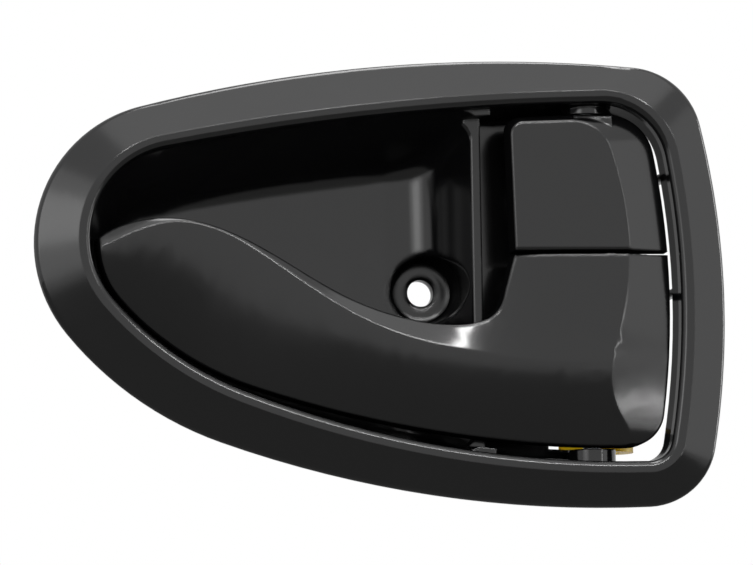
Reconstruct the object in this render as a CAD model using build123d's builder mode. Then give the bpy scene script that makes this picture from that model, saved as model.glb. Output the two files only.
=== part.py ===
from build123d import *
import os
from math import atan2, cos, hypot, radians, sin, tan

os.makedirs("parts", exist_ok=True)

# All sizes are in millimetres. The handle stands as it is fitted on the door: X to the right, Z up,
# the front towards -Y. The back of the flange, which lies on the door trim, is the plane Y = 0.

# Overall sizes of the flange. The curves were drawn for a flange of 160 by 103.2 and stretch with it.
LENGTH = 160.0
HEIGHT = 103.2
STRETCH = LENGTH / 160.0
RISE = HEIGHT / 103.2
RIGHT_END = LENGTH / 2
LEFT_END = -LENGTH / 2
TOP_END = HEIGHT / 2
BOTTOM_END = -HEIGHT / 2

# Length by which a cut runs past the face that it opens
PAST = 1.0

# Margins between the flange and the mouth of the hollows
WELL_RIGHT = 9.2
WELL_TOP = 8.4
WELL_BOTTOM = 9.1
WELL_LEFT = 11.3

# Flange section
FLANGE_EDGE = 1.8
FLANGE_CREST = 5.0
CREST_LAND = 1.4
RIM_ROUND = 1.3
CREST_ROUND = 1.6
FLANGE_SEAT = 3.0
FLANGE_HOLLOW = 1.5

# Housing walls
WALL = 2.2
WELL_DRAFT = 1.4
BACK_WALL_FRONT = 15.0
BACK_WALL = 2.0

# Finger cup, with a floor that leans back to the right, and the divider between it and the lever well
CUP_LEFT_DEPTH = 9.0
CUP_RIGHT_DEPTH = 24.0
FLOOR_LEFT = -60.0 * STRETCH
FLOOR_RIGHT = 14.0 * STRETCH
CUP_FLOOR_ROUND = 5.0
CUP_END_ROUND = 12.0
CUP_SLOPE_TOP = 18.6
CUP_SLOPE_BOTTOM = 16.3
CUP_SLOPE_LEFT = 14.5
DIVIDER_X = 24.0 * STRETCH
DIVIDER_GAP = 0.6
DIVIDER_ROUND = 0.9
DIVIDER_LEAN = 9.0
DIVIDER_GUSSET = 1.5
DIVIDER_NOTCH = 10.0

# Hook behind the nose
HOOK = 2.5
HOOK_GAP = 3.5
HOOK_LENGTH = 14.0
HOOK_WIDTH = 12.0
HOOK_INSET = 5.0
HOOK_ROUND = 1.5
HOOK_Z = 8.0 * RISE

# Window in the back wall of the lever well, which runs on through the right-hand wall
LIP = 2.6
WINDOW_LEFT = 41.0 * STRETCH
SIDE_DEPTH = 5.0
SIDE_LEFT = 60.0 * STRETCH
SIDE_TOP = 35.0 * RISE
LOW_NOTCH_LEFT = 55.5 * STRETCH
LOW_NOTCH_TOP = -30.0 * RISE
BAR = 1.5
BAR_HEIGHTS = (25.5 * RISE, -1.2 * RISE)

# Fixing screw
SCREW_X = 13.6 * STRETCH
SCREW_Z = 0.9 * RISE
SCREW_HOLE = 6.3
SCREW_SEAT = 13.8
SCREW_RIM = 16.2
SCREW_SEAT_DEPTH = 3.0
SCREW_RIM_HEIGHT = 6.0
SCREW_LENGTH = 5.0
BOSS_WALL = 2.2

# Hinge
PIN = 4.0
PIN_X = 49.5 * STRETCH
PIN_DEPTH = 6.0
PIN_HEAD = PIN + 2.6
PIN_HEAD_HEIGHT = 1.2
PIN_TAIL = 2.6
PIN_CHAMFER = 0.5
RING = 0.6
RING_OUTSIDE = PIN + 4.0
RING_TEETH = 3
RING_SLOT = 2.2
RING_SLOT_WIDTH = 0.8
RUNNING_FIT = 0.05
KNUCKLE = PIN + 5.0
LUG = PIN + 7.0
LUG_GAP = 0.3
LUG_BITE = 0.3
KNUCKLE_GAP = 1.0
PAD = 0.6
PAD_RIM = 0.6

# Levers
LEVER_WALL = 2.2
LEVER_BACK = 4.0
LEVER_EDGE = -1.0
LEVER_FRONT = 7.0
LEVER_ROUND = 0.6
RIDGE_ROUND = 1.0
KNUCKLE_LONG = 12.0
KNUCKLE_SHORT = 6.0
WEB_FRONT = -3.5
LOW_WEB_FRONT = 0.0
RIB = 1.2
RIB_BACK = 3.0
RIB_PLACES = (-40.0 * STRETCH, -16.0 * STRETCH, 8.0 * STRETCH)
GAP_TOP = 3.8
GAP_RIGHT = 3.6
GAP_BOTTOM = 5.0
GAP_LEFT = 3.1
RIDGE_RIGHT = 26.8
RIDGE_TOP = 2.3
RIDGE_BOTTOM = 0.5
RIDGE_LEFT = 0.8
SPLIT_Z = 7.1 * RISE
SPLIT_GAP = 0.8
SPLIT_BACK = 9.0
SPLIT_INSET = 5.0
LOCK_FACE = 5.2
LOCK_LEFT = 29.4 * STRETCH
LOCK_LEAN = 1.2
LOCK_CORNER = 3.0
PADDLE_SLOPE = 0.044
PADDLE_FALL_BACK = 4.0
GRIP_CURVE = (
    (-72.0, 3.0),
    (-61.5, 12.9),
    (-51.0, 15.1),
    (-26.4, 7.3),
    (-9.0, -2.9),
    (8.0, -8.7),
    (19.0, -9.4),
    (25.5, -7.3),
    (28.2, -2.0),
)
GRIP_STEPS = 14

# Return spring of the pull lever
WIRE = 1.2
COIL = PIN + 4.4
COIL_PITCH = 1.45
COIL_TURNS = 3
COIL_LEAD = 53.0
COIL_HEIGHT = 9.8
LEVER_LEG = 9.6
SPRING_REST = 3.2

# Detent spring, a bent strip, and the stop buffers
STRIP = 0.6
STRIP_WIDTH = 5.0
STRIP_GAP = 0.1
STRIP_START = 33.0 * STRETCH
STRIP_Z = 19.5 * RISE
STRIP_BEND = 1.2
STRIP_TAIL = 1.5
STRIP_RAMP = 5.0
STRIP_END = 2.0
CAM = 7.0
CAM_WIDTH = 4.0
NOTCH = 1.8
NOTCH_DEPTH = 0.6
LOCK_TRAVEL = 20.0
BUFFER_STEM = 4.0
BUFFER_HEAD = 6.0
BUFFER_BEAD = 2.0
BUFFER_BEAD_LIP = 0.6
BUFFER_CHAMFER = 0.8
BUFFER_GAP = 0.3
PULL_STOP_FACE = 9.5
LOCK_STOP_FACE = 11.3
PULL_STOP = (33.0 * STRETCH, -26.0 * RISE)
LOCK_STOP = (37.0 * STRETCH, 32.5 * RISE)

# Lever arms and the rod clips in them
ARM = 3.0
ARM_END = 12.0
ARM_GAP = 3.4
CLIP_HOLE = 7.0
CLIP_FIT = 0.05
CLIP_PLAY = 0.1
CLIP_HEAD = 10.0
CLIP_HEAD_HEIGHT = 2.4
BARB = 1.6
BARB_LIP = 0.4
BARB_TAPER = 20.0
SNAP_REACH = 12.0
SNAP_WIDTH = 6.0
SNAP_LENGTH = 5.0
SNAP_HEIGHT = 3.6
SNAP_MOUTH = 3.4
ROD_HOLE = 4.2
RELEASE_ARM_X = 8.0
LOCK_ARM_X = -3.0
ARM_REACH = 7.0
CLIP_HEADING = 155.0


def door_plane(depth):
    """Plane parallel to the door trim, a depth behind the back of the flange."""
    return Plane.XZ.offset(-depth)


def level(height):
    """Level plane at a height."""
    return Plane.XY.offset(height)


def nose_round(left, height, radius):
    """Arc round the left end of an outline: its centre and its radius."""
    return (Vector(left + radius, height), radius)


# An outline is a chain of seven arcs: a long one at the right, top and bottom, each with its crest point,
# one round the nose at the left, a diagonal one from the nose to the bottom, with the heading at which it
# leaves the nose, and two round the corners at the right. The arcs along the top and the bottom take their
# radius from the arc that they run into.
RIGHT_CREST_Z = -4.1 * RISE
TOP_CREST_X = RIGHT_END - 19.7 * STRETCH
BOTTOM_CREST_X = RIGHT_END - 24.3 * STRETCH

FLANGE = dict(
    right=((RIGHT_END, -5.5 * RISE), 186.0),
    top=(RIGHT_END - 50.6 * STRETCH, TOP_END),
    bottom=(RIGHT_END - 28.5 * STRETCH, BOTTOM_END),
    nose=nose_round(LEFT_END, 9.3 * RISE, 32.7 * RISE),
    diagonal=(79.5 * RISE, 218.9),
    corners=(17.3, 16.3),
)
WELL = dict(
    right=((RIGHT_END - WELL_RIGHT, RIGHT_CREST_Z), 189.6),
    top=(TOP_CREST_X, TOP_END - WELL_TOP),
    bottom=(BOTTOM_CREST_X, BOTTOM_END + WELL_BOTTOM),
    nose=nose_round(LEFT_END + WELL_LEFT, 10.2 * RISE, 22.8 * RISE),
    diagonal=(76.3 * RISE, 220.8),
    corners=(16.4, 7.0),
)
CUP_FLOOR = dict(
    right=((RIGHT_END - WELL_RIGHT, RIGHT_CREST_Z), 189.6),
    top=(RIGHT_END - 7.5 * STRETCH, TOP_END - CUP_SLOPE_TOP),
    bottom=(BOTTOM_CREST_X, BOTTOM_END + CUP_SLOPE_BOTTOM),
    nose=nose_round(LEFT_END + CUP_SLOPE_LEFT, 4.6 * RISE, 12.0 * RISE),
    diagonal=(70.3 * RISE, 224.0),
    corners=(9.0, 9.0),
)
LEVER_EDGES = dict(
    right=((RIGHT_END - WELL_RIGHT - GAP_RIGHT, RIGHT_CREST_Z), 183.0),
    top=(TOP_CREST_X, TOP_END - WELL_TOP - GAP_TOP),
    bottom=(BOTTOM_CREST_X, BOTTOM_END + WELL_BOTTOM + GAP_BOTTOM),
    nose=nose_round(LEFT_END + WELL_LEFT + GAP_LEFT, 9.5 * RISE, 19.0 * RISE),
    diagonal=(72.5 * RISE, 221.6),
    corners=(11.0, 8.5),
)
LEVER_RIDGE = dict(
    right=((RIGHT_END - RIDGE_RIGHT, 7.0 * RISE), 66.0),
    top=(TOP_CREST_X, TOP_END - WELL_TOP - GAP_TOP - RIDGE_TOP),
    bottom=(BOTTOM_CREST_X, BOTTOM_END + WELL_BOTTOM + GAP_BOTTOM + RIDGE_BOTTOM),
    nose=nose_round(LEFT_END + WELL_LEFT + GAP_LEFT + RIDGE_LEFT, 9.3 * RISE, 18.6 * RISE),
    diagonal=(72.0 * RISE, 221.6),
    corners=(9.0, 9.0),
)


def rounding(first, second, radius, towards):
    """Arc of a radius that runs into two others, (centre, radius) each, on the side that is asked for."""
    reach = first[1] - radius
    apart = second[0] - first[0]
    along = apart.normalized()
    step = (reach**2 - (second[1] - radius) ** 2 + apart.length**2) / (2 * apart.length)
    side = Vector(-along.Y, along.X) * (reach**2 - step**2) ** 0.5
    foot = first[0] + along * step
    return (max((foot + side, foot - side), key=towards.dot), radius)


def long_arc(crest, side, end):
    """Arc along the top (side 1) or the bottom (side -1), from its crest point into the arc at its end."""
    over = Vector(*crest) - end[0]
    rise = side * over.Y
    reach = (over.X**2 + over.Y**2 - end[1] ** 2) / (2 * (rise - end[1]))
    return (Vector(*crest) - Vector(0, side * reach), reach)


def draw_outline(outline, inset=0.0, mode=Mode.ADD):
    """Draw the area inside an outline, or inside the outline moved in by an inset."""
    nose = outline["nose"]
    crest, reach = outline["right"]
    right = (Vector(*crest) - Vector(reach, 0), reach)
    reach, leave = outline["diagonal"]
    heading = Vector(cos(radians(leave)), sin(radians(leave)))
    diagonal = (nose[0] - heading * (reach - nose[1]), reach)
    top = long_arc(outline["top"], 1, nose)
    bottom = long_arc(outline["bottom"], -1, diagonal)
    high = rounding(right, top, outline["corners"][0], Vector(1, 1))
    low = rounding(bottom, right, outline["corners"][1], Vector(1, -1))
    arcs = (right, high, top, nose, diagonal, bottom, low)
    joins = []
    small_arcs = (low, high, high, nose, nose, diagonal, low)
    large_arcs = (right, right, top, top, diagonal, bottom, bottom)
    for small, large in zip(small_arcs, large_arcs):
        joins.append(small[0] + (small[0] - large[0]).normalized() * (small[1] - inset))
    with BuildLine() as chain:
        for (centre, reach), start, end in zip(arcs, joins, joins[1:] + joins[:1]):
            halfway = ((start - centre) + (end - centre)).normalized() * (reach - inset)
            ThreePointArc(start, centre + halfway, end)
    make_face(chain.edges(), mode=mode)


def keep_left(edge):
    """Keep the part of an open sketch to the left of an edge."""
    with Locations((edge - LENGTH, 0)):
        Rectangle(2 * LENGTH, 4 * HEIGHT, mode=Mode.INTERSECT)


def keep_right(edge):
    """Keep the part of an open sketch to the right of an edge."""
    with Locations((edge + LENGTH, 0)):
        Rectangle(2 * LENGTH, 4 * HEIGHT, mode=Mode.INTERSECT)


FLOOR_LEAN = atan2(CUP_RIGHT_DEPTH - CUP_LEFT_DEPTH, FLOOR_RIGHT - FLOOR_LEFT)
DIVIDER_SLOPE = DIVIDER_LEAN / CUP_RIGHT_DEPTH


def floor_depth(x, extra):
    """Depth of the cup floor, or of its back by adding the wall."""
    return CUP_RIGHT_DEPTH + (x - FLOOR_RIGHT) * tan(FLOOR_LEAN) + extra / cos(FLOOR_LEAN)


def floor_plane(extra):
    """Plane of the cup floor, or of its back by adding the wall."""
    along = (cos(FLOOR_LEAN), sin(FLOOR_LEAN), 0)
    forward = (sin(FLOOR_LEAN), -cos(FLOOR_LEAN), 0)
    return Plane(origin=(0, floor_depth(0, extra), 0), x_dir=along, z_dir=forward)


def divider_side(depth, extra):
    """Place of the divider's side to the cup at a depth, or of its other side by adding the wall."""
    return DIVIDER_X - DIVIDER_SLOPE * depth + extra


def cup_blank(grow):
    """Hollow of the finger cup, or its outside when grown by the wall."""
    deepest = floor_depth(DIVIDER_X + grow, grow) / (1 + DIVIDER_SLOPE * tan(FLOOR_LEAN))
    corner = Vector(divider_side(deepest, grow), deepest)
    with BuildPart() as cup:
        with BuildSketch(door_plane(0)) as mouth:
            draw_outline(WELL, CREST_LAND - grow)
        with BuildSketch(floor_plane(grow + PAST)) as floor:
            draw_outline(CUP_FLOOR, -grow)
        loft(ruled=True)
        # Floor and divider seen from above, with a wide round between them
        with BuildSketch() as section:
            with BuildLine() as edge:
                left_side = ((LEFT_END, -PAST), (LEFT_END, floor_depth(LEFT_END, grow)))
                Polyline(*left_side, corner, (divider_side(-PAST, grow), -PAST), close=True)
            make_face(edge.edges())
            fillet(section.vertices().sort_by_distance(corner)[0], radius=CUP_END_ROUND + grow)
        extrude(amount=HEIGHT, both=True, mode=Mode.INTERSECT)
        deep = cup.faces().filter_by(lambda face: face.center().Y > PAST)
        upright = deep.filter_by(lambda face: abs(face.normal_at().Z) < 0.01)
        corners = [edge for face in upright for edge in face.edges().filter_by(Axis.Z, reverse=True)]
        fillet(corners, radius=CUP_FLOOR_ROUND + grow)
    return cup.part


def well_blank(grow, depth):
    """Hollow of the lever well, or its outside when grown by the wall."""
    lean = DIVIDER_SLOPE * depth
    with BuildPart() as well:
        with BuildSketch(door_plane(0)) as mouth:
            draw_outline(WELL, CREST_LAND - grow)
            keep_right(DIVIDER_X + WALL - grow)
        with BuildSketch(door_plane(depth)) as back:
            draw_outline(WELL, CREST_LAND + WELL_DRAFT - grow)
            keep_right(DIVIDER_X + WALL - grow - lean)
        loft(ruled=True)
    return well.part


def draw_block(left, right, low, high):
    """Draw a rectangle between its four sides."""
    with Locations(((left + right) / 2, (low + high) / 2)):
        Rectangle(right - left, high - low)


def leave_bars():
    """Leave the bars across the window."""
    for height in BAR_HEIGHTS:
        with Locations((PIN_X, height)):
            Rectangle(LENGTH, BAR, mode=Mode.SUBTRACT)


LUG_TOP = TOP_END - WELL_TOP - GAP_TOP + LUG_GAP
LUG_BOTTOM = BOTTOM_END + WELL_BOTTOM + GAP_BOTTOM - LUG_GAP
PAD_TOP = TOP_END - WELL_TOP - CREST_LAND + WALL + PAD
PAD_BOTTOM = BOTTOM_END + WELL_BOTTOM + CREST_LAND - WALL - PAD
DIVIDER_EDGE = LEVER_BACK + DIVIDER_GAP
SEAT_FLOOR = CUP_RIGHT_DEPTH + SCREW_SEAT_DEPTH
BOSS_BACK = SEAT_FLOOR + SCREW_LENGTH

with BuildPart() as housing:
    with BuildSketch(door_plane(0)) as base:
        draw_outline(FLANGE)
    extrude(amount=FLANGE_EDGE)
    with BuildSketch(door_plane(-FLANGE_EDGE)) as edge:
        draw_outline(FLANGE)
    with BuildSketch(door_plane(-FLANGE_CREST)) as crest:
        draw_outline(WELL, -CREST_LAND)
    loft(ruled=True)
    rim = housing.edges().filter_by_position(Axis.Y, -FLANGE_EDGE - 0.01, -FLANGE_EDGE + 0.01)
    fillet(rim, radius=RIM_ROUND)
    # Hollow under the flange, which leaves a narrow seat along its edge
    with BuildSketch(door_plane(0)) as flange_hollow:
        draw_outline(FLANGE, FLANGE_SEAT)
        draw_outline(WELL, CREST_LAND - WALL, mode=Mode.SUBTRACT)
    extrude(amount=FLANGE_HOLLOW, mode=Mode.SUBTRACT)
    add(cup_blank(WALL))
    add(well_blank(WALL, BACK_WALL_FRONT + BACK_WALL))
    # Hook that holds the nose behind the trim
    with BuildSketch(door_plane(HOOK_GAP + HOOK)) as hook:
        with Locations((LEFT_END + HOOK_INSET + HOOK_LENGTH / 2, HOOK_Z)):
            RectangleRounded(HOOK_LENGTH, HOOK_WIDTH, HOOK_ROUND)
    extrude(amount=HOOK)
    # Hollows, with the screw boss that stands in the well behind the divider
    with BuildSketch(door_plane(0)) as mouth:
        draw_outline(WELL, CREST_LAND)
    extrude(amount=FLANGE_CREST + PAST, mode=Mode.SUBTRACT)
    add(well_blank(0, BACK_WALL_FRONT), mode=Mode.SUBTRACT)
    with BuildSketch(door_plane(BOSS_BACK)) as boss:
        with Locations((SCREW_X, SCREW_Z)):
            Circle(SCREW_RIM / 2 + BOSS_WALL)
    extrude(amount=BOSS_BACK - DIVIDER_EDGE - PAST)
    add(cup_blank(0), mode=Mode.SUBTRACT)
    crest_face = housing.faces().filter_by_position(Axis.Y, -FLANGE_CREST - 0.01, -FLANGE_CREST + 0.01)[0]
    fillet(crest_face.inner_wires()[0].edges(), radius=CREST_ROUND)
    with BuildSketch(door_plane(DIVIDER_EDGE)) as notch:
        draw_outline(WELL, CREST_LAND + DIVIDER_GUSSET)
        keep_right(DIVIDER_X + WALL / 2 - DIVIDER_NOTCH / 2)
        keep_left(DIVIDER_X + WALL / 2 + DIVIDER_NOTCH / 2)
    extrude(amount=DIVIDER_EDGE + PAST, mode=Mode.SUBTRACT)
    top_of_divider = Vector(divider_side(DIVIDER_EDGE, WALL / 2), DIVIDER_EDGE, TOP_END / 2)
    divider_land = housing.faces().sort_by_distance(top_of_divider)[0]
    fillet(divider_land.edges().filter_by(Axis.Z), radius=DIVIDER_ROUND)
    # Screw recess, wider at its mouth and open to the front, and the screw hole
    with BuildSketch(door_plane(SEAT_FLOOR)) as seat:
        with Locations((SCREW_X, SCREW_Z)):
            Circle(SCREW_SEAT / 2)
    with BuildSketch(door_plane(SEAT_FLOOR - SCREW_RIM_HEIGHT)) as seat_mouth:
        with Locations((SCREW_X, SCREW_Z)):
            Circle(SCREW_RIM / 2)
    loft(ruled=True, mode=Mode.SUBTRACT)
    with BuildSketch(door_plane(SEAT_FLOOR - SCREW_RIM_HEIGHT)) as seat_way:
        with Locations((SCREW_X, SCREW_Z)):
            Circle(SCREW_RIM / 2)
    extrude(amount=SEAT_FLOOR - SCREW_RIM_HEIGHT + PAST, mode=Mode.SUBTRACT)
    with BuildSketch(door_plane(BOSS_BACK)) as screw:
        with Locations((SCREW_X, SCREW_Z)):
            Circle(SCREW_HOLE / 2)
    extrude(amount=SCREW_LENGTH + PAST, mode=Mode.SUBTRACT)
    # Window in the back wall and in the right-hand wall, with two bars left across it
    with BuildSketch(door_plane(BACK_WALL_FRONT)) as window:
        draw_outline(WELL, CREST_LAND + WELL_DRAFT + LIP)
        keep_right(WINDOW_LEFT)
        draw_block(LOW_NOTCH_LEFT, RIGHT_END, BOTTOM_END, LOW_NOTCH_TOP)
        leave_bars()
    extrude(amount=-BACK_WALL - PAST, mode=Mode.SUBTRACT)
    with BuildSketch(door_plane(SIDE_DEPTH)) as side_window:
        draw_block(SIDE_LEFT, RIGHT_END, BOTTOM_END, SIDE_TOP)
        leave_bars()
    extrude(amount=SIDE_DEPTH - BACK_WALL_FRONT - BACK_WALL - PAST, mode=Mode.SUBTRACT)
    # Lugs inside the well and pads outside it, bored for the pin
    upper_lug = (LUG_TOP, PAD_TOP - PAD - WALL + LUG_BITE)
    lower_lug = (LUG_BOTTOM, PAD_BOTTOM + PAD + WALL - LUG_BITE)
    for start, end in (upper_lug, lower_lug):
        with BuildSketch(level(start)) as lug:
            with Locations((PIN_X, PIN_DEPTH)):
                Circle(LUG / 2)
        extrude(amount=end - start)
    for start, end in ((PAD_TOP - PAD - WALL, PAD_TOP), (PAD_BOTTOM + PAD + WALL, PAD_BOTTOM)):
        with BuildSketch(level(start)) as pad:
            with Locations((PIN_X, PIN_DEPTH)):
                Circle(PIN_HEAD / 2 + PAD_RIM)
        extrude(amount=end - start)
    with BuildSketch(level(PAD_BOTTOM)) as pin_bore:
        with Locations((PIN_X, PIN_DEPTH)):
            Circle(PIN / 2 + RUNNING_FIT)
    extrude(amount=PAD_TOP - PAD_BOTTOM, mode=Mode.SUBTRACT)
    # Holes for the two stop buffers and the slot for the detent spring
    with BuildSketch(door_plane(BACK_WALL_FRONT - PAST)) as holes:
        with Locations(PULL_STOP, LOCK_STOP):
            Circle(BUFFER_STEM / 2)
        with Locations((STRIP_START + STRIP_BEND / 2, STRIP_Z)):
            Rectangle(STRIP + STRIP_BEND + 2 * STRIP_GAP, STRIP_WIDTH + 2 * STRIP_GAP)
    extrude(amount=-BACK_WALL - 2 * PAST, mode=Mode.SUBTRACT)
housing.part.label = "housing"
export_step(housing.part, "parts/housing.step")


def lever_blank(wall):
    """Block that both levers are cut from, or the hollow in it when drawn in by the wall."""
    with BuildPart() as block:
        edge = LEVER_EDGE + wall / 2
        with BuildSketch(door_plane(edge)) as skirt:
            draw_outline(LEVER_EDGES, wall)
        extrude(amount=edge - LEVER_BACK - wall)
        with BuildSketch(door_plane(edge)) as skirt:
            draw_outline(LEVER_EDGES, wall)
        with BuildSketch(door_plane(wall - LEVER_FRONT)) as ridge:
            draw_outline(LEVER_RIDGE, wall)
        loft(ruled=True)
    return block.part


# Front of the pull lever at stations along X: height and depth of the ridge that runs along it, the angle
# at which the strip above the ridge leans back, and the drop below the ridge to the lower edge.
STATIONS = (
    (-74.0, 8.0, -3.8, 30.0, 18.0),
    (-53.0, 13.3, -4.6, 30.0, 24.0),
    (-33.0, 9.7, -5.2, 30.0, 33.0),
    (-9.0, -6.1, -5.8, 28.0, 25.0),
    (14.0, -14.8, -6.0, 18.0, 20.0),
    (31.0, -17.2, -5.7, 6.0, 19.0),
    (50.0, -18.0, -5.5, 3.0, 19.0),
    (74.0, -18.0, -5.3, 3.0, 19.0),
)


def paddle_front(wall):
    """Solid behind the front of the pull lever, or behind its inner face."""
    back = HEIGHT / 2
    with BuildPart() as paddle:
        for x, z, front, lean, drop in STATIONS:
            curve = (PADDLE_FALL_BACK - PADDLE_SLOPE * drop) / drop**2
            ridge = Vector(front + wall, z * RISE)
            upper = ridge + Vector(tan(radians(lean)), 1) * (TOP_END - ridge.Y)
            fall = ridge.Y - BOTTOM_END
            middle = ridge + Vector(PADDLE_SLOPE * fall / 2 + curve * (fall / 2) ** 2, -fall / 2)
            lower = ridge + Vector(PADDLE_SLOPE * fall + curve * fall**2, -fall)
            with BuildSketch(Plane.YZ.offset(x * STRETCH)) as section:
                with BuildLine() as edge:
                    Polyline(ridge, upper, (back, TOP_END), (back, BOTTOM_END), lower)
                    ThreePointArc(lower, middle, ridge)
                make_face()
        loft()
    return paddle.part


with BuildLine() as grip_edge:
    grip = Spline([(x * STRETCH, z * RISE) for x, z in GRIP_CURVE])


def draw_pull_plan(inset=0.0):
    """Draw all that is below the curved grip edge and the split, moved in by an inset."""
    points = []
    for step in range(GRIP_STEPS + 1):
        along = grip % (step / GRIP_STEPS)
        points.append(grip @ (step / GRIP_STEPS) + Vector(along.Y, -along.X) * inset)
    far = 2 * LENGTH
    top = SPLIT_Z - SPLIT_GAP / 2 - inset
    with BuildLine() as edge:
        curve = Spline(points)
        corner = (LOCK_LEFT + LOCK_LEAN + inset, top)
        Polyline(curve @ 1, corner, (far, top), (far, -far), (-far, -far), curve @ 0)
    make_face(edge.edges())


RELEASE_ARM_LEVEL = LUG_BOTTOM + ARM_GAP
LOCK_ARM_LEVEL = LUG_TOP - ARM_GAP - ARM


CLIP_DEPTH = BACK_WALL_FRONT + BACK_WALL + ARM_REACH
RELEASE_END = (PIN_X + RELEASE_ARM_X, CLIP_DEPTH)
LOCK_END = (PIN_X + LOCK_ARM_X, CLIP_DEPTH)
COIL_START = LUG_BOTTOM + COIL_HEIGHT


def draw_arm(end):
    """Draw a lever arm seen from above, from the pin to its rod clip."""
    with Locations((PIN_X, PIN_DEPTH)):
        Circle(KNUCKLE / 2)
    with Locations(end):
        Circle(ARM_END / 2)
    make_hull()


def draw_knuckle(front):
    """Draw a knuckle seen from above, with the web that joins it to the face of the lever."""
    with Locations((PIN_X, PIN_DEPTH)):
        Circle(KNUCKLE / 2)
    with Locations((PIN_X, (PIN_DEPTH + front) / 2)):
        Rectangle(KNUCKLE, PIN_DEPTH - front)


with BuildPart() as pull_hollow:
    add(lever_blank(LEVER_WALL))
    add(paddle_front(LEVER_WALL), mode=Mode.INTERSECT)
    with BuildSketch(door_plane(LEVER_BACK + PAST)) as plan:
        draw_pull_plan(LEVER_WALL)
    extrude(amount=LEVER_BACK + PAST + LEVER_FRONT, mode=Mode.INTERSECT)
    with BuildSketch(door_plane(RIB_BACK)) as ribs:
        with Locations([(place, 0) for place in RIB_PLACES]):
            Rectangle(RIB, HEIGHT)
    extrude(amount=RIB_BACK + LEVER_FRONT, mode=Mode.SUBTRACT)

with BuildPart() as pull_lever:
    add(lever_blank(0))
    add(paddle_front(0), mode=Mode.INTERSECT)
    with BuildSketch(door_plane(LEVER_BACK)) as plan:
        draw_pull_plan()
    extrude(amount=LEVER_BACK + LEVER_FRONT, mode=Mode.INTERSECT)
    ridge_x, ridge_z, ridge_front = STATIONS[3][:3]
    on_ridge = Vector(ridge_x * STRETCH, ridge_front, ridge_z * RISE)
    fillet(pull_lever.edges().sort_by_distance(on_ridge)[0], radius=RIDGE_ROUND)
    on_grip = Vector((grip @ 0.5).X, ridge_front / 2, (grip @ 0.5).Y)
    fillet(pull_lever.edges().sort_by_distance(on_grip)[0], radius=LEVER_ROUND)
    on_split = Vector(PIN_X, -LEVER_FRONT, SPLIT_Z)
    fillet(pull_lever.edges().sort_by_distance(on_split)[0], radius=LEVER_ROUND)
    add(pull_hollow.part, mode=Mode.SUBTRACT)
    # Deeper wall along the split, so that nothing shows through it
    with BuildSketch(door_plane(SPLIT_BACK)) as split_wall:
        split_edge = SPLIT_Z - SPLIT_GAP / 2
        draw_block(LOCK_LEFT + SPLIT_INSET, SIDE_LEFT, split_edge - LEVER_WALL, split_edge)
    extrude(amount=SPLIT_BACK - LEVER_BACK + PAST)
    # Knuckles on the pin, the arm for the release rod, the stop post and the rest for the return spring
    knuckles = (
        (LUG_BOTTOM + KNUCKLE_GAP, RELEASE_ARM_LEVEL + ARM, LOW_WEB_FRONT),
        (SPLIT_Z - SPLIT_GAP - KNUCKLE_LONG, SPLIT_Z - SPLIT_GAP / 2, WEB_FRONT),
    )
    for start, end, front in knuckles:
        with BuildSketch(level(start)) as knuckle:
            draw_knuckle(front)
        extrude(amount=end - start)
    with BuildSketch(level(RELEASE_ARM_LEVEL)) as arm:
        draw_arm(RELEASE_END)
    extrude(amount=ARM)
    with BuildSketch(door_plane(PULL_STOP_FACE - BUFFER_GAP)) as post:
        with Locations(PULL_STOP):
            Circle(BUFFER_HEAD / 2)
    extrude(until=Until.NEXT)
    with BuildSketch(door_plane(PIN_DEPTH - COIL / 2 - WIRE / 2 - BUFFER_GAP)) as spring_rest:
        with Locations((PIN_X + LEVER_LEG - SPRING_REST / 2, COIL_START)):
            Circle(SPRING_REST / 2)
    extrude(until=Until.NEXT)
    with BuildSketch(level(BOTTOM_END)) as bores:
        with Locations((PIN_X, PIN_DEPTH)):
            Circle(PIN / 2 + RUNNING_FIT)
        with Locations(RELEASE_END):
            Circle(CLIP_HOLE / 2)
    extrude(amount=HEIGHT, mode=Mode.SUBTRACT)
pull_lever.part.label = "pull_lever"
export_step(pull_lever.part, "parts/pull_lever.step")


def draw_lock_plan(inset=0.0):
    """Draw the side of the lock lever, right of its finger edge and above the split."""
    low = SPLIT_Z + SPLIT_GAP / 2 + inset
    left = LOCK_LEFT + inset
    with BuildLine() as edge:
        finger_edge = ((left - LOCK_LEAN, HEIGHT), (left + LOCK_LEAN, low))
        Polyline(*finger_edge, (LENGTH, low), (LENGTH, HEIGHT), close=True)
    make_face(edge.edges())


with BuildPart() as lock_hollow:
    add(lever_blank(LEVER_WALL))
    with BuildSketch(door_plane(LEVER_BACK + PAST)) as plan:
        draw_lock_plan(LEVER_WALL)
    extrude(amount=LEVER_BACK + PAST + LOCK_FACE - LEVER_WALL, mode=Mode.INTERSECT)

NOTCH_REACH = CAM - NOTCH_DEPTH + NOTCH
# The post of the lock lever meets its buffer at the end of the travel, with its edge away from the pin
LOCK_POST_REACH = (PIN_X - LOCK_STOP[0] + BUFFER_HEAD / 2) * sin(radians(LOCK_TRAVEL))
LOCK_POST_ROOM = LOCK_STOP_FACE - BUFFER_GAP - PIN_DEPTH - LOCK_POST_REACH
LOCK_POST_BACK = PIN_DEPTH + LOCK_POST_ROOM / cos(radians(LOCK_TRAVEL))

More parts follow.
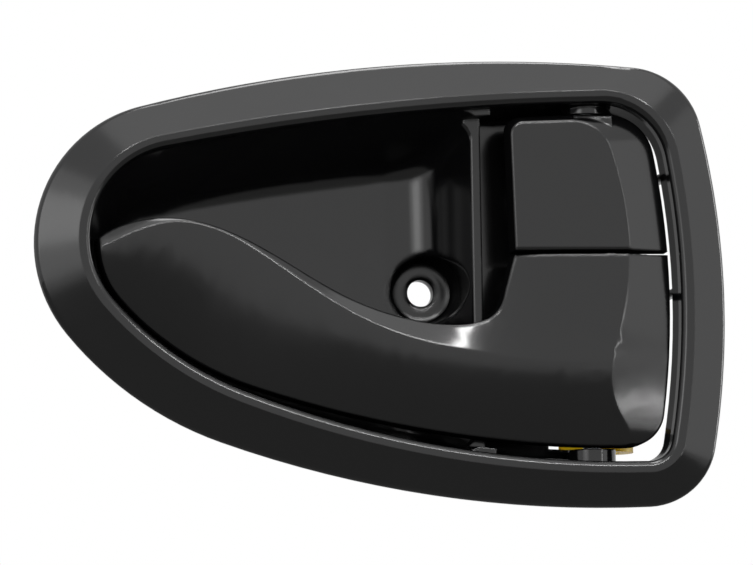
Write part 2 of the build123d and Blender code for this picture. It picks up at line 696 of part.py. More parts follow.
with BuildPart() as lock_lever:
    add(lever_blank(0))
    with BuildSketch(door_plane(LEVER_BACK)) as plan:
        draw_lock_plan()
    extrude(amount=LEVER_BACK + LOCK_FACE, mode=Mode.INTERSECT)
    depths = (-LOCK_FACE / 2, (LEVER_EDGE + LEVER_BACK) / 2)
    corner = [Vector(LOCK_LEFT, depth, LUG_TOP - LUG_GAP) for depth in depths]
    fillet([lock_lever.edges().sort_by_distance(spot)[0] for spot in corner], radius=LOCK_CORNER)
    front = lock_lever.faces().sort_by(Axis.Y)[0]
    fillet(front.edges(), radius=LEVER_ROUND)
    add(lock_hollow.part, mode=Mode.SUBTRACT)
    # Stop post, knuckles on the pin and the arm for the lock rod
    with BuildSketch(door_plane(LOCK_POST_BACK)) as post:
        with Locations(LOCK_STOP):
            Circle(BUFFER_HEAD / 2)
    extrude(until=Until.NEXT)
    knuckles = (
        (SPLIT_Z + SPLIT_GAP / 2, SPLIT_Z + SPLIT_GAP + KNUCKLE_SHORT),
        (LOCK_ARM_LEVEL, LUG_TOP - KNUCKLE_GAP),
    )
    for start, end in knuckles:
        with BuildSketch(level(start)) as knuckle:
            draw_knuckle(WEB_FRONT)
        extrude(amount=end - start)
    with BuildSketch(level(LOCK_ARM_LEVEL)) as arm:
        draw_arm(LOCK_END)
    extrude(amount=ARM)
    # Detent cam: two notches, one for each resting place of the lever
    with BuildSketch(level(STRIP_Z - CAM_WIDTH / 2)) as cam:
        with Locations((PIN_X, PIN_DEPTH)):
            Circle(CAM)
        with Locations((PIN_X, PIN_DEPTH - CAM)):
            Rectangle(2 * CAM, 2 * CAM, mode=Mode.SUBTRACT)
        draw_knuckle(WEB_FRONT)
        with Locations((PIN_X, PIN_DEPTH)):
            with PolarLocations(NOTCH_REACH, 2, start_angle=90, angular_range=LOCK_TRAVEL, endpoint=True):
                Circle(NOTCH, mode=Mode.SUBTRACT)
    extrude(amount=CAM_WIDTH)
    with BuildSketch(level(BOTTOM_END)) as bores:
        with Locations((PIN_X, PIN_DEPTH)):
            Circle(PIN / 2 + RUNNING_FIT)
        with Locations(LOCK_END):
            Circle(CLIP_HOLE / 2)
    extrude(amount=HEIGHT, mode=Mode.SUBTRACT)
lock_lever.part.label = "lock_lever"
export_step(lock_lever.part, "parts/lock_lever.step")

with BuildPart() as hinge_pin:
    with BuildSketch(level(PAD_BOTTOM - PIN_TAIL)) as shank:
        with Locations((PIN_X, PIN_DEPTH)):
            Circle(PIN / 2)
    extrude(amount=PAD_TOP - PAD_BOTTOM + PIN_TAIL)
    tail = hinge_pin.edges().sort_by(Axis.Z)[0]
    chamfer(tail, length=PIN_CHAMFER)
    with BuildSketch(level(PAD_TOP)) as head:
        with Locations((PIN_X, PIN_DEPTH)):
            Circle(PIN_HEAD / 2)
    extrude(amount=PIN_HEAD_HEIGHT)
    fillet(hinge_pin.edges().sort_by(Axis.Z)[-1], radius=PIN_HEAD_HEIGHT / 2)
hinge_pin.part.label = "hinge_pin"
export_step(hinge_pin.part, "parts/hinge_pin.step")

with BuildPart() as pin_retaining_ring:
    with BuildSketch(level(PAD_BOTTOM - RING)) as ring:
        with Locations((PIN_X, PIN_DEPTH)):
            Circle(RING_OUTSIDE / 2)
            Circle(PIN / 2 + RUNNING_FIT, mode=Mode.SUBTRACT)
            with PolarLocations(PIN / 2 + RING_SLOT / 4, RING_TEETH):
                Rectangle(RING_SLOT, RING_SLOT_WIDTH, mode=Mode.SUBTRACT)
    extrude(amount=RING)
pin_retaining_ring.part.label = "pin_retaining_ring"
export_step(pin_retaining_ring.part, "parts/pin_retaining_ring.step")

# The return spring is formed round the Z axis, then turned and placed on the pin. Each half turn is a flat
# arc that leans by half the pitch. One leg bears on its rest in the pull lever, right of the pin, and the
# other on the back wall.
HALF_RISE = COIL_PITCH / 2
LEAN_RADIUS = hypot(COIL / 2, HALF_RISE / 2)
COIL_TOP = 2 * COIL_TURNS * HALF_RISE
LEAD = radians(COIL_LEAD)

with BuildPart() as spring_form:
    for half in range(2 * COIL_TURNS + 1):
        side = 1 if half % 2 == 0 else -1
        turn = 180 if half < 2 * COIL_TURNS else COIL_LEAD
        centre = (0, 0, (half + 0.5) * HALF_RISE)
        with BuildSketch(Plane(origin=(side * COIL / 2, 0, half * HALF_RISE), z_dir=(0, -side, 0))) as wire:
            Circle(WIRE / 2)
        revolve(axis=Axis(centre, (-side * HALF_RISE, 0, -COIL)), revolution_arc=turn)
    leaving = Vector(-sin(LEAD), -cos(LEAD))
    fixed_height = COIL_TOP + HALF_RISE / 2 * (1 - cos(LEAD))
    fixed_foot = Vector(COIL / 2 * cos(LEAD), -LEAN_RADIUS * sin(LEAD), fixed_height)
    fixed_reach = BACK_WALL_FRONT - WIRE / 2 - PIN_DEPTH + fixed_foot.X
    legs = (
        (Vector(COIL / 2, 0), Vector(0, 1), LEVER_LEG),
        (fixed_foot, leaving, -fixed_reach / leaving.X),
    )
    for corner, along, length in legs:
        with BuildSketch(Plane(origin=corner, z_dir=along)) as leg:
            Circle(WIRE / 2)
        extrude(amount=length)

with BuildPart() as pull_return_spring:
    with Locations(Location((PIN_X, PIN_DEPTH, COIL_START), (0, 0, -90))):
        add(spring_form.part)
pull_return_spring.part.label = "pull_return_spring"
export_step(pull_return_spring.part, "parts/pull_return_spring.step")

BUMP_TIP = PIN_DEPTH + CAM - NOTCH_DEPTH + BUFFER_GAP + STRIP / 2

with BuildPart() as lock_detent_spring:
    with BuildSketch(level(STRIP_Z - STRIP_WIDTH / 2)) as strip:
        with BuildLine() as path:
            flat = BACK_WALL_FRONT - STRIP / 2
            FilletPolyline(
                (STRIP_START, BACK_WALL_FRONT + BACK_WALL + STRIP_TAIL),
                (STRIP_START, flat),
                (PIN_X - STRIP_RAMP, flat),
                (PIN_X, BUMP_TIP),
                (PIN_X + STRIP_RAMP, flat),
                (PIN_X + STRIP_RAMP + STRIP_END, flat),
                radius=STRIP_BEND,
            )
        trace(line_width=STRIP)
    extrude(amount=STRIP_WIDTH)
lock_detent_spring.part.label = "lock_detent_spring"
export_step(lock_detent_spring.part, "parts/lock_detent_spring.step")


def build_clip(way):
    """Rod clip round the Z axis: a head on one side of the arm, a shank, a barb and a snap for the rod."""
    with BuildPart() as clip:
        with BuildSketch() as head:
            Circle(CLIP_HEAD / 2)
            with Locations((SNAP_REACH / 2, 0)):
                Rectangle(SNAP_REACH, SNAP_WIDTH)
        extrude(amount=way * CLIP_HEAD_HEIGHT)
        with BuildSketch() as shank:
            Circle(CLIP_HOLE / 2 - CLIP_FIT)
        extrude(amount=-way * (ARM + 2 * CLIP_PLAY + BARB))
        with BuildSketch(level(-way * (ARM + 2 * CLIP_PLAY))) as barb:
            Circle(CLIP_HOLE / 2 + BARB_LIP)
        extrude(amount=-way * BARB, taper=BARB_TAPER)
        with BuildSketch(level(way * CLIP_HEAD_HEIGHT)) as jaw:
            with Locations((SNAP_REACH - SNAP_LENGTH / 2, 0)):
                Rectangle(SNAP_LENGTH, SNAP_WIDTH)
        extrude(amount=way * SNAP_HEIGHT)
        groove = way * (CLIP_HEAD_HEIGHT + ROD_HOLE / 2)
        with BuildSketch(Plane.YZ.offset(SNAP_REACH)) as rod:
            with Locations((0, groove)):
                Circle(ROD_HOLE / 2)
            with Locations((0, groove + way * ROD_HOLE)):
                Rectangle(SNAP_MOUTH, 2 * ROD_HOLE)
        extrude(amount=-SNAP_LENGTH, mode=Mode.SUBTRACT)
        with BuildSketch(level(way * CLIP_HEAD_HEIGHT)) as rod_hole:
            Circle(ROD_HOLE / 2)
        extrude(amount=-way * (CLIP_HEAD_HEIGHT + ARM + 2 * CLIP_PLAY + BARB), mode=Mode.SUBTRACT)
    return clip.part


with BuildPart() as release_rod_clip:
    with Locations(Location((*RELEASE_END, RELEASE_ARM_LEVEL - CLIP_PLAY), (0, 0, CLIP_HEADING))):
        add(build_clip(-1))
release_rod_clip.part.label = "release_rod_clip"
export_step(release_rod_clip.part, "parts/release_rod_clip.step")

with BuildPart() as lock_rod_clip:
    with Locations(Location((*LOCK_END, LOCK_ARM_LEVEL + ARM + CLIP_PLAY), (0, 0, CLIP_HEADING))):
        add(build_clip(1))
lock_rod_clip.part.label = "lock_rod_clip"
export_step(lock_rod_clip.part, "parts/lock_rod_clip.step")


def build_buffer(place, face):
    """Rubber stop buffer: a head on the back wall and a stem with a bead behind it."""
    with BuildPart() as buffer:
        with BuildSketch(door_plane(BACK_WALL_FRONT)) as head:
            with Locations(place):
                Circle(BUFFER_HEAD / 2)
        extrude(amount=BACK_WALL_FRONT - face)
        chamfer(buffer.edges().sort_by(Axis.Y)[0], length=BUFFER_CHAMFER)
        with BuildSketch(door_plane(BACK_WALL_FRONT)) as stem:
            with Locations(place):
                Circle(BUFFER_STEM / 2)
        extrude(amount=-BACK_WALL)
        with BuildSketch(door_plane(BACK_WALL_FRONT + BACK_WALL)) as bead:
            with Locations(place):
                Circle(BUFFER_STEM / 2 + BUFFER_BEAD_LIP)
        extrude(amount=-BUFFER_BEAD)
        chamfer(buffer.edges().sort_by(Axis.Y)[-1], length=BUFFER_CHAMFER)
    return buffer.part


with BuildPart() as pull_stop_buffer:
    add(build_buffer(PULL_STOP, PULL_STOP_FACE))
pull_stop_buffer.part.label = "pull_stop_buffer"
export_step(pull_stop_buffer.part, "parts/pull_stop_buffer.step")

with BuildPart() as lock_stop_buffer:
    add(build_buffer(LOCK_STOP, LOCK_STOP_FACE))
lock_stop_buffer.part.label = "lock_stop_buffer"
export_step(lock_stop_buffer.part, "parts/lock_stop_buffer.step")
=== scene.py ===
"""Car interior door handle: its finishes, the shaped front of its pull lever and the studio that shows it."""

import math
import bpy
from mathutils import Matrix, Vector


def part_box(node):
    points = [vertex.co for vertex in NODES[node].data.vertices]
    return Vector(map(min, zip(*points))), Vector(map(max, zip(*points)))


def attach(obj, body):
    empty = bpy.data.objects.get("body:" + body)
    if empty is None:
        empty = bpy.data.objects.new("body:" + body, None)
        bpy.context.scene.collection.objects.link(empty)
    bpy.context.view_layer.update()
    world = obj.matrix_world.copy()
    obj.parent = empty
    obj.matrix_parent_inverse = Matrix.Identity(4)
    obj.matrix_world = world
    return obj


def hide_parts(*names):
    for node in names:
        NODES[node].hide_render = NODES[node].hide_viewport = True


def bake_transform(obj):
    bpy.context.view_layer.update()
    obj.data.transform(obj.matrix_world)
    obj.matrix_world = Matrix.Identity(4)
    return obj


bl_info = {
    "name": "Interior door handle",
    "version": (1, 0, 0),
    "blender": (4, 5, 0),
    "location": "View3D > Sidebar > Handle",
    "description": "Finishes a car interior door handle and lights it in a white studio",
    "category": "Object",
}

import bpy
from mathutils import Quaternion, Vector

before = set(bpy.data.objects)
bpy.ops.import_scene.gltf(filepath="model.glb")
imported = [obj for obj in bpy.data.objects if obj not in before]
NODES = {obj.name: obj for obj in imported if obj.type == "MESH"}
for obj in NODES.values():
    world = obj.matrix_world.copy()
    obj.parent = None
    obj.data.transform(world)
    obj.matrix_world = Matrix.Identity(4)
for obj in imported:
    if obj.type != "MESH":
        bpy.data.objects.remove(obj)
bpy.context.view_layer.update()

MM = 0.001
SENSOR_WIDTH = 36.0
CLIP_START = 0.01
# Corners of a copied mesh that are nearer than this are joined.
WELD = 0.002 * MM
# A face looks to the front when its normal's Y is below this.
FRONT_FACING = -0.6
# A corner in metres that lies left of and below every face.
ANYWHERE = -1.0

BEVEL_SAMPLES = 8
WHITE = "#ffffff"
# Shares of a face's turn to the front between which a side whose reflection is taken away, as painted shade,
# becomes a polished front.
SIDE_TURN = 0.2
FRONT_TURN = 0.5
FRONT_GLOSS = 0.5

# Flow marks of acetal, and a grain drawn coarser than a mould's so that it can show.
FLOW_SIZE = 2.5 * MM
FLOW_RAMP = (0.4, 0.62)
ACETAL_ROUGHNESS = (0.34, 0.46)
ACETAL_GRAIN_SIZE = 0.4 * MM
ACETAL_GRAIN_DEPTH = 0.004 * MM

# Draw lines of steel, coarser than real ones so that they can show, and how they change the roughness.
DRAW_SIZE = 0.25 * MM
DRAW_DEPTH = 0.003 * MM
DRAW_SMOOTHER = 0.08
DRAW_ROUGHER = 0.1
LINES_ALONG_X = (0.02, 1, 1)
LINES_ALONG_Z = (1, 1, 0.02)

# Grain of an eroded mould, drawn coarser than real so that it can show.
RUBBER_GRAIN_SIZE = 0.35 * MM
RUBBER_GRAIN_DEPTH = 0.02 * MM
RUBBER_ROUGHNESS = (0.62, 0.8)


def srgb(code):
    """Linear colour of an sRGB hex value."""
    channels = [int(code[i : i + 2], 16) / 255 for i in (1, 3, 5)]
    linear = [c / 12.92 if c <= 0.04045 else ((c + 0.055) / 1.055) ** 2.4 for c in channels]
    return (*linear, 1.0)


def length(name, description, default):
    """Property for a length in metres."""
    return bpy.props.FloatProperty(
        name=name, description=description, default=default, unit="LENGTH", precision=5
    )


def angle(name, description, default):
    """Property for an angle, given in degrees."""
    return bpy.props.FloatProperty(
        name=name, description=description, default=math.radians(default), subtype="ANGLE"
    )


def factor(name, description, default):
    """Property for a share between 0 and 1."""
    return bpy.props.FloatProperty(
        name=name, description=description, default=default, min=0, max=1, subtype="FACTOR"
    )


def hex_colour(name, description, default):
    """Property for an sRGB hex colour."""
    return bpy.props.StringProperty(name=name, description=description, default=default)


class HandleEdges(bpy.types.PropertyGroup):
    """Radii that the black mouldings' edges seem to have, and the crease of the coil."""

    housing: length("Housing edge", "Radius that the housing's front edges seem to have", 0.5 * MM)
    cup: length("Cup edge", "Radius that the corners deep in the cup seem to have", 2.5 * MM)
    cup_from: length("Cup from", "Depth at which the wider corners begin", 4.0 * MM)
    cup_to: length("Cup to", "Depth at which they are reached", 12.0 * MM)
    lever: length("Lever edge", "Radius that the levers' edges seem to have", 1.0 * MM)
    coil: angle("Coil crease", "Edges of the spring wire that turn by more than this stay crisp", 40)


class HandleFacet(bpy.types.PropertyGroup):
    """Front of the pull lever beside the split, level with the lock lever, and its side facet."""

    front: length("Front", "Place of the level front along Y", -5.2 * MM)
    edge: length("Edge", "Place of the facet's outer edge along Y", -1.0 * MM)
    edge_x: length("Edge X", "Place of the facet's outer edge along X", 67 * MM)
    ridge_x: length("Ridge X", "Rightmost point of the ridge between front and facet", 57 * MM)
    ridge_z: length("Ridge Z", "Height of that point", 7 * MM)
    ridge_round: length("Ridge round", "Radius of the ridge's arc", 66 * MM)
    left: length("Left", "Left end of the stretch that is raised", 27 * MM)
    run_in: length("Run-in", "Length over which it rises from the left", 18 * MM)
    low: length("Low", "Lower end of the stretch that is raised", -17 * MM)
    run_up: length("Run-up", "Length over which the cuts swing on to the ridge from below", 6 * MM)
    step: length("Step", "Spacing of the cuts that shape it", 1.5 * MM)
    crease: angle("Crease", "Edges that turn by more than this stay crisp", 14)


class HandleFinish(bpy.types.PropertyGroup):
    """Colours, gloss and surface grain of the handle."""

    black: hex_colour("Black", "Colour of the black mouldings", "#151516")
    polish: factor("Polish", "Roughness of the polished faces", 0.13)
    haze: factor("Haze", "How far that roughness goes up and down over a face", 0.03)
    # Painted shade: these keep the reflection on faces turned away from the front low, so that those faces
    # render dark.
    shaded_side_gloss: factor("Side gloss", "Reflection left on the housing's drawn sides", 0.006)
    lever_shaded_side_gloss: factor("Lever side gloss", "Reflection left on the levers' drawn sides", 0.0)
    sink_size: length("Sink size", "Size of the slow unevenness of a moulded face", 22 * MM)
    sink_depth: length("Sink depth", "Depth of that unevenness", 0.012 * MM)
    peel_size: length("Peel size", "Size of the fine orange peel", 0.9 * MM)
    peel_depth: length("Peel depth", "Depth of the orange peel", 0.0006 * MM)
    yellow: hex_colour("Yellow", "Colour of the release clip", "#ffe01c")
    yellow_dark: hex_colour("Yellow flow", "Colour of its flow marks", "#f5d014")
    yellow_clear: factor("Yellow clear", "Share of the light that passes through it", 0.4)
    dark: hex_colour("Dark acetal", "Colour of the lock clip", "#1b1b1c")
    dark_flow: hex_colour("Dark acetal flow", "Colour of its flow marks", "#232324")
    dark_clear: factor("Dark acetal clear", "Share of the light that passes through it", 0.0)
    zinc: hex_colour("Zinc", "Colour of the plated pin and ring", "#b4b6b9")
    zinc_roughness: factor("Zinc roughness", "Roughness of the plated pin and ring", 0.3)
    spring: hex_colour("Spring steel", "Colour of the springs", "#6d6c6a")
    spring_roughness: factor("Spring roughness", "Roughness of the springs", 0.38)
    rubber: hex_colour("Rubber", "Colour of the buffers", "#141414")


class HandleStage(bpy.types.PropertyGroup):
    """Camera, floor and surroundings of the studio."""

    azimuth: angle("Azimuth", "Turn of the camera to the right; below zero it stands at the left", -9)
    elevation: angle("Elevation", "Rise of the camera; below zero it stands low", -6)
    roll: angle("Roll", "Turn of the camera about its own axis", -1.0)
    distance: length("Distance", "From the camera to the flange", 2.0)
    framed_width: length("Framed width", "Width of the picture at the flange", 0.1727)
    aim_x: length("Aim X", "Aim of the camera from the housing's middle, along X", -1.0 * MM)
    aim_z: length("Aim Z", "Aim of the camera from the housing's middle, along Z", 0.55 * MM)
    floor_level: length("Floor level", "Height of the floor", -1.6)
    floor_forward: length("Floor forward", "How far the floor's middle lies before the handle", 5.0)
    floor_size: length("Floor size", "Side of the square floor", 16.0)
    floor_colour: hex_colour("Floor colour", "Colour of the pale floor", "#e6e6e4")
    floor_roughness: factor("Floor roughness", "Roughness of the floor", 0.8)
    ambient: factor("Ambient", "Strength of the white surroundings on matt faces", 0.3)


def add_node(tree, kind, inputs=None, **settings):
    """Add a node with its settings and its inputs: values, or nodes and sockets that are linked to them."""
    node = tree.nodes.new(kind)
    for name, value in settings.items():
        setattr(node, name, value)
    for name, value in (inputs or {}).items():
        if isinstance(value, bpy.types.Node):
            value = value.outputs[0]
        if isinstance(value, bpy.types.NodeSocket):
            tree.links.new(value, node.inputs[name])
        else:
            node.inputs[name].default_value = value
    return node


def new_material(name):
    """Empty material and its node tree."""
    material = bpy.data.materials.new(name)
    material.use_nodes = True
    material.node_tree.nodes.clear()
    return material, material.node_tree


def polished_abs(name, finish, edges, front_edge, deep_edge, shaded_side_gloss):
    """Injection moulded ABS from a polished mould: the deep black mirrors the studio, slow sinks and a faint
    orange peel bend what it mirrors, and corners have the softness that a mould gives them. The sides that
    turn away from the front have their reflection taken away, painted shade that keeps them dark."""
    material, tree = new_material(name)
    place = add_node(tree, "ShaderNodeTexCoord").outputs
    depth = add_node(tree, "ShaderNodeSeparateXYZ", {"Vector": place["Object"]}).outputs["Y"]
    span = {"From Min": edges.cup_from, "From Max": edges.cup_to, "To Min": front_edge, "To Max": deep_edge}
    radius = add_node(tree, "ShaderNodeMapRange", {"Value": depth, **span})
    normal = add_node(tree, "ShaderNodeBevel", {"Radius": radius}, samples=BEVEL_SAMPLES)
    sinks = {"Scale": 1 / finish.sink_size, "Detail": 1.0}
    peel = {"Scale": 1 / finish.peel_size, "Detail": 2.0}
    for grain, relief in ((sinks, finish.sink_depth), (peel, finish.peel_depth)):
        height = add_node(tree, "ShaderNodeTexNoise", {"Vector": place["Object"], **grain})
        normal = add_node(
            tree, "ShaderNodeBump", {"Height": height, "Strength": 1.0, "Distance": relief, "Normal": normal}
        )
    clouds = {"Scale": 3 / finish.sink_size, "Detail": 4.0}
    haze = add_node(tree, "ShaderNodeTexNoise", {"Vector": place["Object"], **clouds})
    span = {"To Min": finish.polish - finish.haze, "To Max": finish.polish + finish.haze}
    roughness = add_node(tree, "ShaderNodeMapRange", {"Value": haze, **span})
    # Painted shade: faces turned away from the front lose their reflection, so they render dark.
    facing = add_node(tree, "ShaderNodeSeparateXYZ", {"Vector": place["Normal"]}).outputs["Y"]
    turn = add_node(tree, "ShaderNodeMath", {0: facing}, operation="ABSOLUTE")
    span = {"From Min": SIDE_TURN, "From Max": FRONT_TURN, "To Min": shaded_side_gloss, "To Max": FRONT_GLOSS}
    gloss = add_node(tree, "ShaderNodeMapRange", {"Value": turn, **span})
    shader = add_node(
        tree,
        "ShaderNodeBsdfPrincipled",
        {
            "Base Color": srgb(finish.black),
            "Roughness": roughness,
            "IOR": 1.53,
            "Specular IOR Level": gloss,
            "Normal": normal,
        },
    )
    add_node(tree, "ShaderNodeOutputMaterial", {"Surface": shader})
    return material


def moulded_acetal(name, colour, flow, clear):
    """Injection moulded acetal: waxy and half gloss, with faint flow marks from the gate, and light shows
    through its thin walls where it isn't black."""
    material, tree = new_material(name)
    place = add_node(tree, "ShaderNodeTexCoord").outputs["Object"]
    marks = add_node(tree, "ShaderNodeTexNoise", {"Vector": place, "Scale": 1 / FLOW_SIZE, "Detail": 3.0})
    ramp = add_node(tree, "ShaderNodeValToRGB", {"Fac": marks})
    for element, position, code in zip(ramp.color_ramp.elements, FLOW_RAMP, (colour, flow)):
        element.position = position
        element.color = srgb(code)
    span = dict(zip(("To Min", "To Max"), ACETAL_ROUGHNESS))
    roughness = add_node(tree, "ShaderNodeMapRange", {"Value": marks, **span})
    grain = add_node(tree, "ShaderNodeTexNoise", {"Vector": place, "Scale": 1 / ACETAL_GRAIN_SIZE})
    normal = add_node(
        tree, "ShaderNodeBump", {"Height": grain, "Strength": 1.0, "Distance": ACETAL_GRAIN_DEPTH}
    )
    shader = add_node(
        tree,
        "ShaderNodeBsdfPrincipled",
        {
            "Base Color": ramp,
            "Roughness": roughness,
            "IOR": 1.48,
            "Transmission Weight": clear,
            "Normal": normal,
        },
    )
    add_node(tree, "ShaderNodeOutputMaterial", {"Surface": shader})
    return material


def drawn_metal(name, colour, roughness, stretch):
    """Cold drawn steel: fine lines run along the wire or bar and stretch its highlights."""
    material, tree = new_material(name)
    place = add_node(tree, "ShaderNodeTexCoord").outputs["Object"]
    lines = add_node(tree, "ShaderNodeMapping", {"Vector": place, "Scale": stretch})
    draw = add_node(tree, "ShaderNodeTexNoise", {"Vector": lines, "Scale": 1 / DRAW_SIZE, "Detail": 3.0})
    span = {"To Min": roughness - DRAW_SMOOTHER, "To Max": roughness + DRAW_ROUGHER}
    shader = add_node(
        tree,
        "ShaderNodeBsdfPrincipled",
        {
            "Base Color": srgb(colour),
            "Metallic": 1.0,
            "Roughness": add_node(tree, "ShaderNodeMapRange", {"Value": draw, **span}),
            "Normal": add_node(
                tree, "ShaderNodeBump", {"Height": draw, "Strength": 1.0, "Distance": DRAW_DEPTH}
            ),
        },
    )
    add_node(tree, "ShaderNodeOutputMaterial", {"Surface": shader})
    return material


def moulded_rubber(colour):
    """Moulded rubber: dull, with a fine grain from the eroded mould."""
    material, tree = new_material("compression_moulded_rubber_matt")
    place = add_node(tree, "ShaderNodeTexCoord").outputs["Object"]
    grain = add_node(tree, "ShaderNodeTexNoise", {"Vector": place, "Scale": 1 / RUBBER_GRAIN_SIZE})
    span = dict(zip(("To Min", "To Max"), RUBBER_ROUGHNESS))
    shader = add_node(
        tree,
        "ShaderNodeBsdfPrincipled",
        {
            "Base Color": srgb(colour),
            "Roughness": add_node(tree, "ShaderNodeMapRange", {"Value": grain, **span}),
            "Normal": add_node(
                tree, "ShaderNodeBump", {"Height": grain, "Strength": 1.0, "Distance": RUBBER_GRAIN_DEPTH}
            ),
        },
    )
    add_node(tree, "ShaderNodeOutputMaterial", {"Surface": shader})
    return material


def painted_board(colour, roughness):
    """Matt painted board: an even pale surface with no gloss."""
    material, tree = new_material("painted_board_matt")
    shader = add_node(tree, "ShaderNodeBsdfPrincipled", {"Base Color": srgb(colour), "Roughness": roughness})
    add_node(tree, "ShaderNodeOutputMaterial", {"Surface": shader})
    return material


def dress(piece, material):
    """Give a piece one material."""
    piece.data.materials.clear()
    piece.data.materials.append(material)


def merged_copy(node, name):
    """Copy of a node with its faces joined, shown in its place, selected and active."""
    piece = bpy.data.objects.new(name, NODES[node].data.copy())
    bpy.context.scene.collection.objects.link(piece)
    bpy.ops.object.select_all(action="DESELECT")
    bpy.context.view_layer.objects.active = piece
    piece.select_set(True)
    bpy.ops.mesh.customdata_custom_splitnormals_clear()
    bpy.ops.object.mode_set(mode="EDIT")
    bpy.ops.mesh.select_all(action="SELECT")
    bpy.ops.mesh.remove_doubles(threshold=WELD)
    bpy.ops.object.mode_set(mode="OBJECT")
    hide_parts(node)
    return piece


def front_faces(piece, left, low):
    """Faces right of and above a corner that look to the front with nothing before them."""
    forward = Vector((0, -1, 0))
    faces = [face for face in piece.data.polygons if face.normal.y < FRONT_FACING]
    faces = [face for face in faces if face.center.x > left and face.center.z > low]
    return [face for face in faces if not piece.ray_cast(face.center + forward * WELD, forward)[0]]


def cut_front(piece, left, low, point, normal):
    """Cut the active piece's front faces right of and above a corner along one plane."""
    for face in front_faces(piece, left, low):
        face.select = True
    bpy.ops.object.mode_set(mode="EDIT")
    bpy.ops.mesh.bisect(plane_co=point, plane_no=normal)
    bpy.ops.mesh.select_all(action="DESELECT")
    bpy.ops.object.mode_set(mode="OBJECT")


def cut_grid(piece, facet):
    """Cut the stretch that is raised free of the rest of the front, and then into columns and rows."""
    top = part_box("pull_lever")[1].z
    along_x = (1, 0, 0)
    along_z = (0, 0, 1)
    bpy.ops.object.mode_set(mode="EDIT")
    bpy.ops.mesh.select_all(action="DESELECT")
    bpy.ops.object.mode_set(mode="OBJECT")
    cut_front(piece, ANYWHERE, ANYWHERE, (facet.left, 0, 0), along_x)
    cut_front(piece, facet.left, ANYWHERE, (0, 0, facet.low), along_z)
    for column in range(1, round((facet.edge_x - facet.left) / facet.step)):
        cut_front(piece, facet.left, facet.low, (facet.left + column * facet.step, 0, 0), along_x)
    for row in range(1, round((top - facet.low) / facet.step)):
        cut_front(piece, facet.left, facet.low, (0, 0, facet.low + row * facet.step), along_z)


def share(value):
    """Value held between 0 and 1."""
    return min(max(value, 0), 1)


def ridge_at(facet, height):
    """Place along X of the ridge between front and facet at a height."""
    rise = height - facet.ridge_z
    return facet.ridge_x - facet.ridge_round + math.sqrt(facet.ridge_round**2 - rise**2)


def raise_front(piece, facet):
    """Bring the front beside the split level with the lock lever and carry the facet's ridge on to it."""
    cut_grid(piece, facet)
    moved = {index for face in front_faces(piece, facet.left, facet.low) for index in face.vertices}
    for index in moved:
        spot = piece.data.vertices[index].co
        ridge = ridge_at(facet, spot.z)
        # The column at the ridge swings on to its arc, and the others go along by how near they are.
        end = facet.edge_x if spot.x > facet.ridge_x else facet.left
        near = share(1 - abs(spot.x - facet.ridge_x) / abs(facet.ridge_x - end))
        risen = share((spot.z - facet.low) / facet.run_up)
        spot.x += (ridge - facet.ridge_x) * near * risen
        # The front is level up to the ridge and falls off to the facet's edge. It only ever comes forward.
        fallen = share((spot.x - ridge) / (facet.edge_x - ridge))
        level = facet.front + fallen * (facet.edge - facet.front)
        begun = min((spot.x - facet.left) / facet.run_in, 1)
        ease = begun * begun * (3 - 2 * begun)
        spot.y += ease * min(level - spot.y, 0)


def smooth(piece, crease):
    """Smooth the active piece, with crisp creases and normals that keep to the wide faces."""
    bpy.ops.object.shade_smooth_by_angle(angle=crease)
    weighted = piece.modifiers.new("wide_faces", "WEIGHTED_NORMAL")
    weighted.keep_sharp = True
    bpy.ops.object.modifier_apply(modifier=weighted.name)


class HANDLE_OT_housing(bpy.types.Operator):
    """Give the housing its polished black"""

    bl_idname = "handle.housing"
    bl_label = "Housing"

    def execute(self, context):
        finish = context.scene.handle_finish
        edges = context.scene.handle_edges
        name = "moulded_abs_polished_housing"
        black = polished_abs(name, finish, edges, edges.housing, edges.cup, finish.shaded_side_gloss)
        dress(NODES["housing"], black)
        return {"FINISHED"}


class HANDLE_OT_levers(bpy.types.Operator):
    """Give the two levers their polished black and raise the pull lever's front beside the split"""

    bl_idname = "handle.levers"
    bl_label = "Levers"

    def execute(self, context):
        finish = context.scene.handle_finish
        edges = context.scene.handle_edges
        facet = context.scene.handle_facet
        name = "moulded_abs_polished_lever"
        black = polished_abs(name, finish, edges, edges.lever, edges.lever, finish.lever_shaded_side_gloss)
        dress(NODES["lock_lever"], black)
        pull_lever = merged_copy("pull_lever", "pull_lever_moulding")
        raise_front(pull_lever, facet)
        smooth(pull_lever, facet.crease)
        dress(pull_lever, black)
        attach(pull_lever, "pull_lever")
        return {"FINISHED"}


class HANDLE_OT_clips(bpy.types.Operator):
    """Colour the two rod clips"""

    bl_idname = "handle.clips"
    bl_label = "Rod clips"

    def execute(self, context):
        finish = context.scene.handle_finish
        yellow = moulded_acetal(
            "moulded_acetal_yellow", finish.yellow, finish.yellow_dark, finish.yellow_clear
        )
        dark = moulded_acetal("moulded_acetal_dark", finish.dark, finish.dark_flow, finish.dark_clear)
        dress(NODES["release_rod_clip"], yellow)
        dress(NODES["lock_rod_clip"], dark)
        return {"FINISHED"}


class HANDLE_OT_pin(bpy.types.Operator):
    """Plate the hinge pin and its retaining ring"""

    bl_idname = "handle.pin"
    bl_label = "Pin and ring"

    def execute(self, context):
        finish = context.scene.handle_finish
        zinc = drawn_metal("cold_drawn_steel_zinc_plated", finish.zinc, finish.zinc_roughness, LINES_ALONG_Z)
        for node in ("hinge_pin", "pin_retaining_ring"):
            dress(NODES[node], zinc)
        return {"FINISHED"}


